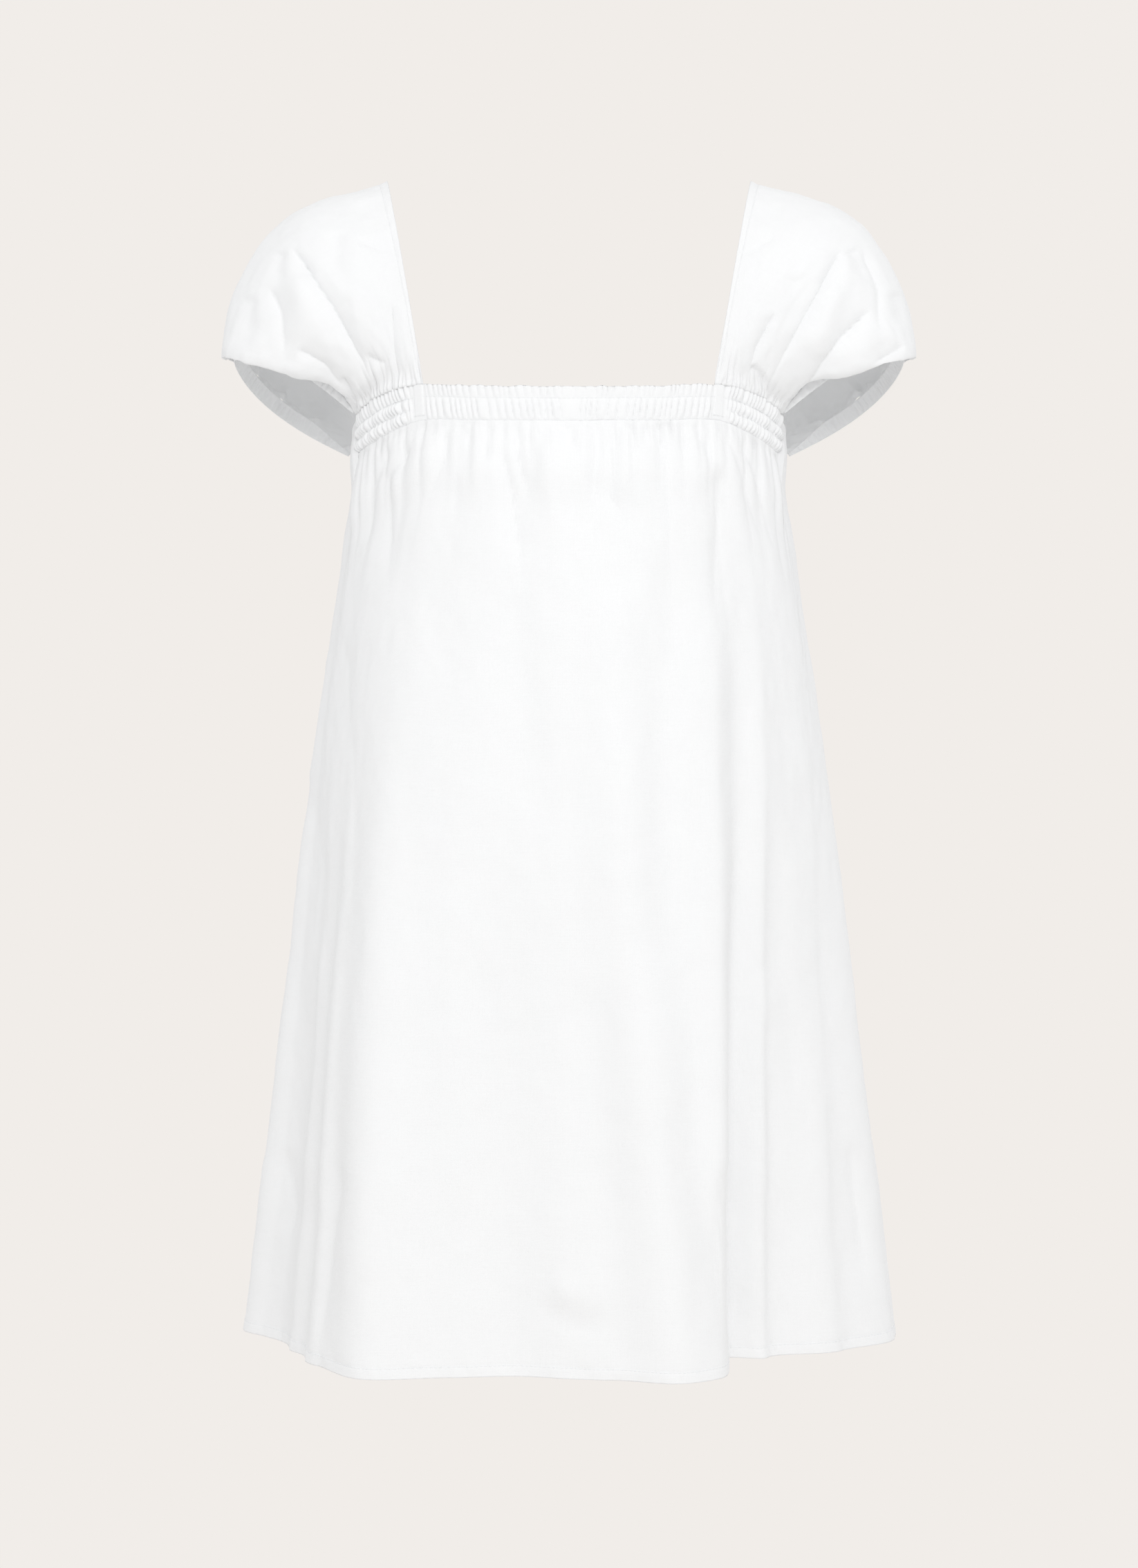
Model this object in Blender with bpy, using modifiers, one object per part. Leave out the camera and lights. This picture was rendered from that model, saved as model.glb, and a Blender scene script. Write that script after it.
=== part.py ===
"""A worn mini dress with a square neckline, elasticated neck bands and puffed cap sleeves.

Metres, +Z up. The front of the dress faces -Y and the origin lies midway between
the tops of the two shoulders, where a wearer holds the dress up. Each cloth piece
is a grid laid out on the garment's form and given its wall by Solidify.
"""

import math
from typing import NamedTuple

import bmesh
import bpy
from mathutils import Vector

# Driving sizes
LENGTH = 0.834  # from the shoulder to the hem
WALL = 0.0012  # thickness of the cloth
BAND_WALL = 0.0020  # thickness of the neck bands, which hold elastic
SEAM_GAP = 0.0004  # parting left between two pieces at a seam
SIDE_LINE = 0.020  # how far behind the origin the body is widest
ROUNDNESS = 2.2  # power of the rounded outline of a section; 2 is an ellipse
SIDE_SEAM_ANGLE = 90.0  # angle from the centre front to the side seams
CASING_WIDTH = 0.012  # elastic casing of the arm opening
BAND_TRIM = 0.990  # share of its length that a band keeps, clear of the panel at its slanted ends
SLEEVE_LIFT = 0.0008  # parting between the sleeve and the band or casing that it is gathered into
TAB_WIDTH = 0.010
TAB_WALL = 0.0010

# Counts
PANEL_COLUMNS = 64
PANEL_ROWS = 12
PANEL_GATHERS = 18
BAND_PUCKERS = 36
BAND_COLUMNS = 108
SLEEVE_COLUMNS = 18
ROLL_COLUMNS = 4  # closer ones where the puff turns back up to its casing
SLEEVE_ROWS = 26
SLEEVE_GATHERS = 7
CASING_PUCKERS = 20
CASING_COLUMNS = 60

LINEN_WHITE = (0.86, 0.86, 0.87, 1.0)


class Section(NamedTuple):
    """Outline of the body at one level; the reaches run from the side line."""

    drop: float
    half_width: float
    front: float
    back: float


SECTIONS = (
    Section(0.150, 0.1578, 0.134, 0.086),
    Section(0.190, 0.1577, 0.136, 0.090),
    Section(0.224, 0.1562, 0.142, 0.093),
    Section(0.260, 0.1630, 0.148, 0.098),
    Section(0.320, 0.1722, 0.155, 0.103),
    Section(0.420, 0.1862, 0.165, 0.110),
    Section(0.520, 0.1990, 0.174, 0.117),
    Section(0.620, 0.2112, 0.182, 0.124),
    Section(0.720, 0.2228, 0.190, 0.131),
    Section(0.834, 0.2372, 0.199, 0.140),
)


class BandEdge(NamedTuple):
    """Drops of a neck band's two edges; share runs from the band's middle to its end."""

    share: float
    top: float
    bottom: float


FRONT_BAND = (
    BandEdge(0.00, 0.1650, 0.1880),
    BandEdge(0.30, 0.1632, 0.1865),
    BandEdge(0.54, 0.1600, 0.1845),
    BandEdge(0.70, 0.1628, 0.1900),
    BandEdge(0.85, 0.1680, 0.1960),
    BandEdge(1.00, 0.1756, 0.2014),
)
BACK_BAND = (
    BandEdge(0.00, 0.1560, 0.1800),
    BandEdge(0.30, 0.1545, 0.1785),
    BandEdge(0.56, 0.1520, 0.1770),
    BandEdge(0.70, 0.1605, 0.1860),
    BandEdge(0.84, 0.1790, 0.2040),
    BandEdge(1.00, 0.1974, 0.2200),
)


class BandEnd(NamedTuple):
    """Angles from the band's own middle at which its two edges end, and the neck corner."""

    top_angle: float
    bottom_angle: float
    corner_share: float


FRONT_END = BandEnd(72.0, 70.5, 0.525)
BACK_END = BandEnd(74.0, 71.0, 0.58)


class ArmholePoint(NamedTuple):
    """Drop of the armhole's lower edge between the ends of the two bands."""

    angle: float
    drop: float


ARMHOLE = (
    ArmholePoint(72.0, 0.1756),
    ArmholePoint(80.0, 0.1790),
    ArmholePoint(90.0, 0.1840),
    ArmholePoint(99.0, 0.1905),
    ArmholePoint(106.0, 0.1974),
)


class SkirtFold(NamedTuple):
    """A long fold: where it starts and ends round the body, its half width and hem depth."""

    name: str
    top_angle: float
    hem_angle: float
    half_angle: float
    depth: float
    start_drop: float


FRONT_FOLDS = (
    SkirtFold("flat side, wearer's right", -76.0, -70.0, 24.0, -0.026, 0.24),
    SkirtFold("valley beside the apron, right", -62.0, -54.0, 9.0, -0.010, 0.22),
    SkirtFold("apron edge, wearer's right", -42.0, -31.0, 14.0, 0.024, 0.22),
    SkirtFold("middle valley", -12.0, -7.0, 13.0, -0.013, 0.26),
    SkirtFold("middle ridge", 6.0, 15.5, 10.0, 0.018, 0.26),
    SkirtFold("apron edge, wearer's left", 33.0, 22.0, 5.0, 0.003, 0.22),
    SkirtFold("valley beside the apron, left", 43.0, 32.0, 9.5, -0.046, 0.22),
    SkirtFold("shelf of the side, wearer's left", 56.0, 44.0, 17.0, -0.046, 0.26),
    SkirtFold("flat side, wearer's left", 72.0, 61.0, 17.0, -0.022, 0.28),
)
BACK_FOLDS = (
    SkirtFold("back outer valley, left", -66.0, -62.0, 11.0, -0.018, 0.25),
    SkirtFold("back ridge, left", -40.0, -40.0, 11.0, 0.020, 0.24),
    SkirtFold("back inner valley, left", -22.0, -21.0, 10.0, -0.018, 0.26),
    SkirtFold("back middle ridge", 0.0, -2.0, 11.0, 0.010, 0.28),
    SkirtFold("back inner valley, right", 22.0, 19.0, 11.0, -0.016, 0.26),
    SkirtFold("back ridge, right", 42.0, 40.0, 12.0, 0.022, 0.24),
    SkirtFold("back outer valley, right", 68.0, 62.0, 11.0, -0.020, 0.25),
)


class SleeveFold(NamedTuple):
    """A crease running up from one end of the sleeve; shares of the sleeve's width."""

    start: float
    finish: float
    reach: float
    half_width: float
    depth: float


SLEEVE_FOLDS = (
    SleeveFold(0.20, 0.17, 0.20, 0.060, 0.0025),
    SleeveFold(0.50, 0.52, 0.40, 0.075, 0.0060),
    SleeveFold(0.76, 0.72, 0.22, 0.060, 0.0040),
    SleeveFold(0.92, 0.80, 0.34, 0.070, 0.0040),
)

# The sleeve's neck edge is an arch over the shoulder
SHOULDER_TOP = Vector((0.1318, 0.002, -0.0015))
# The arm opening is an arch in a tilted plane, from the front band's end out and round
OPENING_REST = Vector((0.1551, 0.0093, -0.1865))
OPENING_OUT = Vector((0.0885, -0.0050, 0.0605))
OPENING_BACK = Vector((0.0043, 0.0357, -0.0109))
FRONT_FULLNESS = 0.80  # how much wider than its two ends the opening swells
BACK_FULLNESS = 1.30
ARM_DIRECTION = Vector((0.486, -0.308, -0.814))
# The line that the puff swells away from
PUFF_CENTRE = Vector((0.125, 0.0, -0.100))
PUFF_LINE = Vector((0.64, 0.05, -0.77)).normalized()
PUFF_HEIGHT = 0.0376
ROLL_FULLNESS = 0.004  # how much fuller the puff is where it turns back up to its casing
ROLL_DROP = 0.046  # how far the front of the puff hangs past its casing
BLOUSE_DROP = 0.014  # how far the rest of it does
HANG_IN_FRONT = Vector((0.28, -0.28, -0.92))
HANG_BEHIND = Vector((0.28, 0.10, -0.92))


def smooth(x):
    """Rises softly from 0 to 1 as x does."""
    x = min(1.0, max(0.0, x))
    return x * x * (3.0 - 2.0 * x)


def bump(x):
    """A soft hump, 1 at x = 0 and 0 from x = 1 outwards."""
    return 0.5 + 0.5 * math.cos(math.pi * min(1.0, abs(x)))


def mix(a, b, share):
    return a + (b - a) * share


def read(rows, key, column, value):
    """One column of a table at any value of its key column, on a smooth curve."""
    keys = [getattr(row, key) for row in rows]
    values = [getattr(row, column) for row in rows]
    value = min(keys[-1], max(keys[0], value))
    i = max(k for k in range(len(keys) - 1) if keys[k] <= value)

    def slope(k):
        low, high = max(0, k - 1), min(len(keys) - 1, k + 1)
        return (values[high] - values[low]) / (keys[high] - keys[low])

    span = keys[i + 1] - keys[i]
    t = (value - keys[i]) / span
    rise = (2 * t**3 - 3 * t**2 + 1) * values[i] + (3 * t**2 - 2 * t**3) * values[i + 1]
    lean = (t**3 - 2 * t**2 + t) * slope(i) + (t**3 - t**2) * slope(i + 1)
    return rise + lean * span


def rounded(x):
    """Signed power that turns a sine or cosine into the rounded outline."""
    return math.copysign(abs(x) ** (2.0 / ROUNDNESS), x)


def body_point(angle, drop):
    """A point of the plain body form; angle is in degrees from the centre front towards +X."""
    width = read(SECTIONS, "drop", "half_width", drop)
    turn = math.radians(angle)
    side = "front" if math.cos(turn) > 0 else "back"
    reach = read(SECTIONS, "drop", side, drop)
    return Vector((width * rounded(math.sin(turn)), SIDE_LINE - reach * rounded(math.cos(turn)), -drop))


def body_normal(angle, drop):
    """The level direction that points out of the body form."""
    step = 1.0
    along = body_point(angle + step, drop) - body_point(angle - step, drop)
    return Vector((along.y, -along.x, 0.0)).normalized()


def band_place(rows, end, middle_angle, share, height):
    """Angle and drop of a point on a neck band: share from -1 to 1, height 0 at its top."""
    reach = mix(end.top_angle, end.bottom_angle, height)
    top = read(rows, "share", "top", abs(share))
    bottom = read(rows, "share", "bottom", abs(share))
    return middle_angle + share * reach, mix(top, bottom, height)


def panel_top(rows, end, middle_angle, angle):
    """Drop of a panel's upper edge at an angle from the panel's own middle."""
    away = abs(angle)
    if away <= end.bottom_angle:
        return read(rows, "share", "bottom", away / end.bottom_angle) + SEAM_GAP
    if away <= end.top_angle:
        climb = (away - end.bottom_angle) / (end.top_angle - end.bottom_angle)
        return mix(rows[-1].bottom, rows[-1].top, climb) + 2 * SEAM_GAP
    round_body = away if middle_angle == 0.0 else 180.0 - away
    return read(ARMHOLE, "angle", "drop", round_body) + SEAM_GAP


def fold_depth(folds, angle, drop):
    """Sum of the long folds at a point of the skirt."""
    total = 0.0
    for fold in folds:
        down = (drop - fold.start_drop) / (LENGTH - fold.start_drop)
        centre = mix(fold.top_angle, fold.hem_angle, max(0.0, down))
        grown = smooth(0.1 + 0.9 * down) ** 1.15
        total += fold.depth * grown * bump((angle - centre) / fold.half_angle)
    return total


def gather_depth(share, below_band):
    """Small gathers under a band, which fade out down the skirt."""
    uneven = 0.7 + 0.3 * math.sin(17.0 * share + 1.0)
    fade_length = 0.075 + 0.030 * math.sin(11.0 * share)
    fade = smooth(1.0 - below_band / fade_length)
    wave = math.cos(math.pi * PANEL_GATHERS * share)
    blouse = 0.0045 * bump((below_band - 0.030) / 0.034) * smooth(below_band / 0.010)
    return 0.0022 * uneven * fade * wave + blouse


def panel_angle(end, share, down):
    """Angle of a column of cloth, which spreads as it runs down to the hem."""
    kinks = ((0.0, 0.0), (26 / 32, end.bottom_angle), (29 / 32, end.top_angle), (1.0, SIDE_SEAM_ANGLE))
    away = abs(share)
    for (low, low_angle), (high, high_angle) in zip(kinks, kinks[1:]):
        if away <= high:
            top_angle = mix(low_angle, high_angle, (away - low) / (high - low))
            break
    hem_angle = SIDE_SEAM_ANGLE * away
    return math.copysign(mix(top_angle, hem_angle, smooth(2.0 * down)), share)


def panel_point(rows, end, folds, middle_angle, share, down):
    """A point of the front or back panel; down is 0 at its upper edge and 1 at the hem."""
    top_angle = panel_angle(end, share, 0.0)
    top = panel_top(rows, end, middle_angle, top_angle)
    angle = panel_angle(end, share, down)
    drop = mix(top, LENGTH, down)
    off_seam = smooth((1.0 - abs(share)) / 0.10)
    depth = fold_depth(folds, angle, drop) + gather_depth(share, drop - top)
    turned = middle_angle + angle
    point = body_point(turned, drop) + body_normal(turned, drop) * depth * off_seam
    parting = SEAM_GAP / 2 if middle_angle == 0.0 else -SEAM_GAP / 2
    return point - Vector((0.0, parting, 0.0)) * (1.0 - off_seam)


def pucker(share, height):
    """Height of the puckers and of the casing's swell over a neck band."""
    wave = math.cos(math.pi * BAND_PUCKERS * share)
    header = 1.0 - smooth(height / 0.34)
    channel = math.sin(math.pi * min(1.0, max(0.0, (height - 0.34) / 0.66)))
    fullness = mix(0.0010, 0.0015, smooth((abs(share) - 0.60) / 0.20))
    return fullness * wave * (0.35 + 0.65 * max(header, channel)) + 0.0008 * channel


def band_point(rows, end, middle_angle, share, height):
    """A point of the outer face of a neck band."""
    angle, drop = band_place(rows, end, middle_angle, share, height)
    beside_tab = smooth((abs(abs(share) - end.corner_share - 0.027) - 0.034) / 0.02)
    raised = BAND_WALL / 2 + pucker(share, height) * beside_tab
    return body_point(angle, drop) + body_normal(angle, drop) * raised


def tab_point(rows, end, middle_angle, side, across, height):
    """A point of the flat tab that closes the sleeve's neck edge onto a band."""
    share_width = math.degrees(TAB_WIDTH / 0.15) / end.top_angle
    share = side * (end.corner_share + share_width * across)
    angle, drop = band_place(rows, end, middle_angle, share, mix(0.04, 0.94, height))
    raised = BAND_WALL / 2 + 2 * SEAM_GAP + TAB_WALL
    return body_point(angle, drop) + body_normal(angle, drop) * raised


def neck_edge(over):
    """The sleeve's neck edge: over is 0 at the front band and 1 at the back band."""
    front = body_point(*band_place(FRONT_BAND, FRONT_END, 0.0, FRONT_END.corner_share, 0.0))
    back = body_point(*band_place(BACK_BAND, BACK_END, 180.0, -BACK_END.corner_share, 0.0))
    rise = math.sin(math.pi * over)
    foot = front.lerp(back, 0.5 - 0.5 * math.cos(math.pi * over))
    top = SHOULDER_TOP - front.lerp(back, 0.5)
    return foot + top * rise


def arm_edge(over):
    """The lower edge of the casing round the arm, from the front band's end to the back's."""
    turn = math.pi * over
    out = math.sin(turn)
    fullness = FRONT_FULLNESS if over < 0.5 else BACK_FULLNESS
    back = -math.cos(turn) * (1.0 + fullness * out)
    return OPENING_REST + OPENING_OUT * out + OPENING_BACK * back


def casing_width(over):
    """The casing narrows to nothing much where it meets the bands."""
    ends = smooth(over / 0.14) * smooth((1.0 - over) / 0.14)
    return mix(0.003, CASING_WIDTH, ends)


def band_top_end(over, across):
    """Where the sleeve's end is sewn to a band's upper edge."""
    if over < 0.5:
        rows, end, middle_angle, side = FRONT_BAND, FRONT_END, 0.0, 1.0
    else:
        rows, end, middle_angle, side = BACK_BAND, BACK_END, 180.0, -1.0
    share = mix(end.corner_share, 0.985, across)
    angle, drop = band_place(rows, end, middle_angle, side * share, 0.0)
    return body_point(angle, drop) + Vector((0.0, 0.0, SLEEVE_LIFT))


def sleeve_crease(over, across):
    """Depth of the creases that run up from the sleeve's two gathered ends."""
    from_end = min(over, 1.0 - over)
    total = 0.0
    for fold in SLEEVE_FOLDS:
        run = from_end / fold.reach
        centre = mix(fold.start, fold.finish, min(1.0, run))
        along = bump(max(0.0, run - 0.3))
        total -= fold.depth * along * bump((across - centre) / fold.half_width)
    gathers = math.cos(2.0 * math.pi * SLEEVE_GATHERS * across)
    return total + 0.0016 * gathers * smooth(1.0 - from_end / 0.14) * smooth(from_end / 0.03)


def sleeve_point(over, across):
    """A point of the outer face of the sleeve at +X."""
    edge = arm_edge(over) - ARM_DIRECTION * (casing_width(over) + SLEEVE_LIFT)
    flat = neck_edge(over).lerp(edge, across)
    end = 0.0 if over < 0.5 else 1.0
    end_edge = arm_edge(end) - ARM_DIRECTION * (casing_width(end) + SLEEVE_LIFT)
    straight = neck_edge(end).lerp(end_edge, across)
    from_end = min(over, 1.0 - over)
    onto_band = smooth(1.0 - from_end / 0.22) * smooth((1.0 - across) / 0.12)
    flat += (band_top_end(over, across) - straight) * onto_band

    away = flat - PUFF_CENTRE
    away -= PUFF_LINE * away.dot(PUFF_LINE)
    fullness = math.sin(math.pi * over) ** 0.65 * mix(0.25, 1.0, smooth(from_end / 0.05))
    profile = max(0.0, math.sin(math.pi * across**1.12)) ** mix(1.05, 0.72, across)
    outward = away.normalized()
    turn = ROLL_FULLNESS * bump((across - 0.89) / 0.08)
    point = flat + outward * fullness * (PUFF_HEIGHT * profile + turn)
    hang_way = HANG_IN_FRONT.lerp(HANG_BEHIND, smooth((over - 0.35) / 0.35)).normalized()
    roll = bump((over - 0.34) / 0.42) * smooth(over / 0.18)
    hang = BLOUSE_DROP * math.sin(math.pi * over) + (ROLL_DROP - BLOUSE_DROP) * roll
    point += hang_way * hang * bump((across - 0.90) / (0.09 if across > 0.90 else 0.42))
    settled = smooth(across / 0.08) * smooth((1.0 - across) / 0.05)
    return point + outward * sleeve_crease(over, across) * settled


def casing_point(over, across):
    """A point of the gathered casing round the arm opening; across is 0 at its free edge."""
    point = arm_edge(over) - ARM_DIRECTION * casing_width(over) * across
    away = point - PUFF_CENTRE
    away -= PUFF_LINE * away.dot(PUFF_LINE)
    wave = math.cos(2.0 * math.pi * CASING_PUCKERS * over)
    settled = smooth(over / 0.06) * smooth((1.0 - over) / 0.06)
    return point + away.normalized() * 0.0008 * wave * settled


def linen():
    material = bpy.data.materials.new("white_linen")
    material.use_nodes = True
    shader = material.node_tree.nodes["Principled BSDF"]
    shader.inputs["Base Color"].default_value = LINEN_WHITE
    shader.inputs["Roughness"].default_value = 0.85
    shader.inputs["Metallic"].default_value = 0.0
    return material


def steps(count, low=0.0, high=1.0, power=1.0):
    """Evenly counted shares from low to high, packed towards low if power is over 1."""
    return [mix(low, high, (k / count) ** power) for k in range(count + 1)]


def cloth(name, place, shares, downs, wall, material, collection):
    """A grid laid out by place(share, down) and thickened inwards to a cloth wall."""
    mesh = bpy.data.meshes.new(name)
    grid = bmesh.new()
    bmesh.ops.create_grid(grid, x_segments=len(shares) - 1, y_segments=len(downs) - 1, size=1.0)
    for vertex in grid.verts:
        column = round((vertex.co.x + 1.0) / 2.0 * (len(shares) - 1))
        row = round((1.0 - vertex.co.y) / 2.0 * (len(downs) - 1))
        vertex.co = place(shares[column], downs[row])
    grid.to_mesh(mesh)
    grid.free()
    mesh.shade_smooth()
    mesh.materials.append(material)
    piece = bpy.data.objects.new(name, mesh)
    collection.objects.link(piece)
    solidify = piece.modifiers.new("cloth wall", "SOLIDIFY")
    solidify.thickness = wall
    solidify.offset = -1.0
    solidify.use_even_offset = True
    solidify.use_quality_normals = True
    return piece


def mirrored(place):
    """The same form on the other side of the body."""

    def other_side(share, down):
        point = place(share, down)
        return Vector((-point.x, point.y, point.z))

    return other_side


def build_panels(material, collection):
    shares = steps(PANEL_COLUMNS, -1.0, 1.0)
    downs = steps(PANEL_ROWS, power=1.7)
    cloth(
        "front_panel",
        lambda share, down: panel_point(FRONT_BAND, FRONT_END, FRONT_FOLDS, 0.0, share, down),
        shares, downs, WALL, material, collection,
    )
    cloth(
        "back_panel",
        lambda share, down: panel_point(BACK_BAND, BACK_END, BACK_FOLDS, 180.0, share, down),
        shares, downs, WALL, material, collection,
    )


def build_bands(material, collection):
    shares = steps(BAND_COLUMNS, -BAND_TRIM, BAND_TRIM)
    heights = [0.0, 0.34, 0.67, 1.0]
    for name, rows, end, middle_angle in (
        ("front_band", FRONT_BAND, FRONT_END, 0.0),
        ("back_band", BACK_BAND, BACK_END, 180.0),
    ):
        cloth(
            name,
            lambda share, height: band_point(rows, end, middle_angle, share, height),
            shares, heights, BAND_WALL, material, collection,
        )
        for side_name, side in (("right", -1.0), ("left", 1.0)):
            wearer_side = side_name if middle_angle == 0.0 else {"right": "left", "left": "right"}[side_name]
            cloth(
                f"{name}_tab_{wearer_side}",
                lambda across, height: tab_point(rows, end, middle_angle, side, across, height),
                steps(2) if side > 0 else steps(2)[::-1], steps(2), TAB_WALL, material, collection,
            )


def build_sleeves(material, collection):
    overs = steps(SLEEVE_ROWS)
    acrosses = steps(SLEEVE_COLUMNS, 0.0, 0.90) + steps(ROLL_COLUMNS, 0.90, 1.0)[1:]
    casing_overs = steps(CASING_COLUMNS, 0.012, 0.988)
    for side_name, turned in (("left", False), ("right", True)):
        sleeve_place = mirrored(sleeve_point) if turned else sleeve_point
        casing_place = mirrored(casing_point) if turned else casing_point
        cloth(
            f"sleeve_{side_name}", sleeve_place,
            overs[::-1] if turned else overs, acrosses, WALL, material, collection,
        )
        cloth(
            f"sleeve_casing_{side_name}", casing_place,
            casing_overs if turned else casing_overs[::-1], steps(2), WALL, material, collection,
        )


def main():
    for old in list(bpy.data.objects):
        bpy.data.objects.remove(old)
    collection = bpy.data.collections.new("mini_dress")
    bpy.context.scene.collection.children.link(collection)
    material = linen()
    build_panels(material, collection)
    build_bands(material, collection)
    build_sleeves(material, collection)


main()
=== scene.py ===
import math
from typing import NamedTuple

import bpy
import numpy as np
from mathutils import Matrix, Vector


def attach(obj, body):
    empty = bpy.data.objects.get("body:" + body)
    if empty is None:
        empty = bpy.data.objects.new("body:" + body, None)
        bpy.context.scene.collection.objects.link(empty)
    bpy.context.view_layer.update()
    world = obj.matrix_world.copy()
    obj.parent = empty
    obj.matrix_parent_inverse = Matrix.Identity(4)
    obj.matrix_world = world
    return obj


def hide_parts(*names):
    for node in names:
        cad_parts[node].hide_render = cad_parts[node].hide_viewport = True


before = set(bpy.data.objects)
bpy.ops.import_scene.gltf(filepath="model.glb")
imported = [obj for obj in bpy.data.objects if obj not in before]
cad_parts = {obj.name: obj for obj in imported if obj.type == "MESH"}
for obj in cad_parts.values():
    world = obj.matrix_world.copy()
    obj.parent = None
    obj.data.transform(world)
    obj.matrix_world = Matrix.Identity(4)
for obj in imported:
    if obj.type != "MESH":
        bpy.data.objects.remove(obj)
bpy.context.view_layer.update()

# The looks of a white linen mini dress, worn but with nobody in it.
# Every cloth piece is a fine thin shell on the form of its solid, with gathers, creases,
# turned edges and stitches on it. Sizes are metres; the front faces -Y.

# Sizes of the form, as the solids have them
LENGTH = 0.834
SEAM_GAP = 0.0004
SIDE_LINE = 0.020
ROUNDNESS = 2.2
SIDE_SEAM_ANGLE = 90.0
CASING_WIDTH = 0.012
TAB_WIDTH = 0.010
HEM_WIDTH = 0.008
NECK_HEM_WIDTH = 0.007

# Cloth and thread
CLOTH = 0.0005
RIDGE_SHARE = 3.2  # how many times wider than its valley the ridge beside a fold is
SEAM_OVERLAP = 0.0008  # how far a band runs on over the piece that is sewn to it
BAND_CLOTH = 0.0005
BAND_WAVE = 0.0006  # how far a band's upper edge wavers
TAB_CUSHION = 0.0009  # how far a tab's middle stands up from its edges
TAB_SINK = 0.0003  # how deep those edges lie
THREAD_RADIUS = 0.00022
STITCH_LENGTH = 0.0024
STITCH_PITCH = 0.0031
WEAVE_PITCH = 0.00062  # distance between two threads of the weave
LINEN_COLOUR = (0.95, 0.955, 0.96)
LINEN_TONE_AND_SHADE = 0.93  # how light the linen is where it is darkest: its slubs and cloud are its own uneven tone, the darkening where the weave lies low is painted shade
THREAD_COLOUR = (0.93, 0.94, 0.95)
# how light the thread is in the grooves of its twist, a painted shade
THREAD_SHADE = 0.92
GROOVE_DEPTH = 0.0004  # how far a line of stitches draws the cloth in
GROOVE_WIDTH = 0.0009

# The pieces laid flat, which is how their weave runs
PANEL_HALF_TOP = 0.31
PANEL_HALF_HEM = 0.37
PANEL_DEPTH = 0.66
BAND_DEPTH = 0.026
TAB_DEPTH = 0.024
SLEEVE_RUN = 0.44
SLEEVE_DEPTH = 0.20
CASING_DEPTH_FLAT = 0.014

# Where lines of stitches lie, as shares of a piece's rows and columns
HEM_STITCH_ROW = 0.951982
BAND_LOW_STITCH_ROW = 0.985
TAB_STITCH_ROW = 0.93
CASING_STITCH_ROW = 0.08
STITCH_INSET = 0.02
TAB_STITCH_INSET = 0.1

# Knots of the uneven lines and surfaces, and the knot at which they start
LINE_KNOTS = 512
LINE_START = 200.0
SURFACE_KNOTS = 128
SURFACE_START = 60.0


def table(kind, *rows):
    """Entries of one kind from rows of their values."""
    return tuple(kind(*row) for row in rows)


class Grid(NamedTuple):
    """Steps of a piece's fine mesh, across it and down it."""

    columns: int
    rows: int


PANEL_GRID = Grid(244, 146)
HEM_ROWS = 14
HEM_FROM = 0.980  # share of the way down a panel at which its finer hem rows begin
BAND_GRID = Grid(620, 26)
TAB_GRID = Grid(16, 30)
SLEEVE_GRID = Grid(250, 170)
CASING_GRID = Grid(420, 12)


class Section(NamedTuple):
    """Outline of the body at one level; the reaches run from the side line."""

    drop: float
    half_width: float
    front: float
    back: float


SECTIONS = table(
    Section,
    (0.150, 0.1578, 0.134, 0.086),
    (0.190, 0.1577, 0.136, 0.090),
    (0.224, 0.1562, 0.142, 0.093),
    (0.260, 0.1630, 0.148, 0.098),
    (0.320, 0.1722, 0.155, 0.103),
    (0.420, 0.1862, 0.165, 0.110),
    (0.520, 0.1990, 0.174, 0.117),
    (0.620, 0.2112, 0.182, 0.124),
    (0.720, 0.2228, 0.190, 0.131),
    (0.834, 0.2372, 0.199, 0.140),
)


class BandEdge(NamedTuple):
    """Drops of a neck band's two edges; share runs from the band's middle to its end."""

    share: float
    top: float
    bottom: float


class BandForm(NamedTuple):
    """A neck band: its edges, the angles at which they end, and its place on the body."""

    edges: tuple
    top_angle: float
    bottom_angle: float
    corner_share: float
    middle_angle: float
    seed: int


FRONT_BAND = BandForm(
    table(
        BandEdge,
        (0.00, 0.1650, 0.1880),
        (0.30, 0.1632, 0.1865),
        (0.54, 0.1600, 0.1845),
        (0.70, 0.1628, 0.1900),
        (0.85, 0.1680, 0.1960),
        (1.00, 0.1756, 0.2014),
    ),
    72.0, 70.5, 0.525, 0.0, 11,
)
BACK_BAND = BandForm(
    table(
        BandEdge,
        (0.00, 0.1560, 0.1800),
        (0.30, 0.1545, 0.1785),
        (0.56, 0.1520, 0.1770),
        (0.70, 0.1605, 0.1860),
        (0.84, 0.1790, 0.2040),
        (1.00, 0.1974, 0.2200),
    ),
    74.0, 71.0, 0.58, 180.0, 12,
)


class ArmholePoint(NamedTuple):
    """Drop of the armhole's lower edge between the ends of the two bands."""

    angle: float
    drop: float


ARMHOLE = table(
    ArmholePoint,
    (72.0, 0.1756),
    (80.0, 0.1790),
    (90.0, 0.1840),
    (99.0, 0.1905),
    (106.0, 0.1974),
)


class SkirtFold(NamedTuple):
    """A long fold: where it starts and ends round the body, its half width and hem depth."""

    top_angle: float
    hem_angle: float
    half_angle: float
    depth: float
    start_drop: float


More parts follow.
